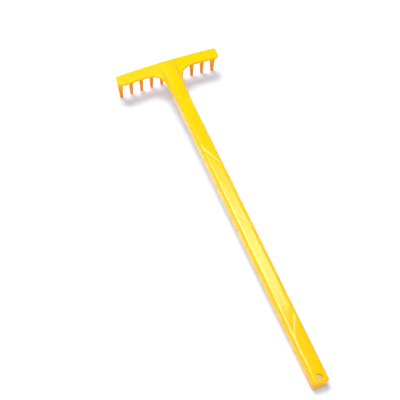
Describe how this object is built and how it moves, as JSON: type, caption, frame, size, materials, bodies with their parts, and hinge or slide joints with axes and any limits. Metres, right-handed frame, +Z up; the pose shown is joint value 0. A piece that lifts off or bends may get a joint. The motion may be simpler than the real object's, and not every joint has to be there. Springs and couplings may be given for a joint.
{
  "type": "sand rake",
  "caption": "One-piece plastic sand rake for children, with tapered tines on a bowed head and a long channel handle with a hanging hole.",
  "frame": {"origin": "middle of the resting rake's outline seen from above, on the ground it lies on", "axes": "+Y towards the back edge of the head, along the handle; +X along the head; +Z up, away from the ground under the tine tips and the handle's end"},
  "size_m": [0.1476, 0.5002, 0.0444],
  "materials": {
    "yellow_plastic": "gloss"
  },
  "bodies": {
    "root": {"handle_channel": "yellow_plastic", "hanging_end": "yellow_plastic", "shaft_neck": "yellow_plastic", "head_wing_left": "yellow_plastic", "head_wing_right": "yellow_plastic", "handle_brace_01": "yellow_plastic", "handle_brace_02": "yellow_plastic", "handle_brace_03": "yellow_plastic", "handle_brace_04": "yellow_plastic", "handle_brace_05": "yellow_plastic", "handle_brace_06": "yellow_plastic", "handle_brace_07": "yellow_plastic", "handle_brace_08": "yellow_plastic", "handle_brace_09": "yellow_plastic", "tine_01": "yellow_plastic", "tine_02": "yellow_plastic", "tine_03": "yellow_plastic", "tine_04": "yellow_plastic", "tine_05": "yellow_plastic", "tine_06": "yellow_plastic", "tine_07": "yellow_plastic", "tine_08": "yellow_plastic", "tine_09": "yellow_plastic", "tine_10": "yellow_plastic"}
  },
  "joints": []
}
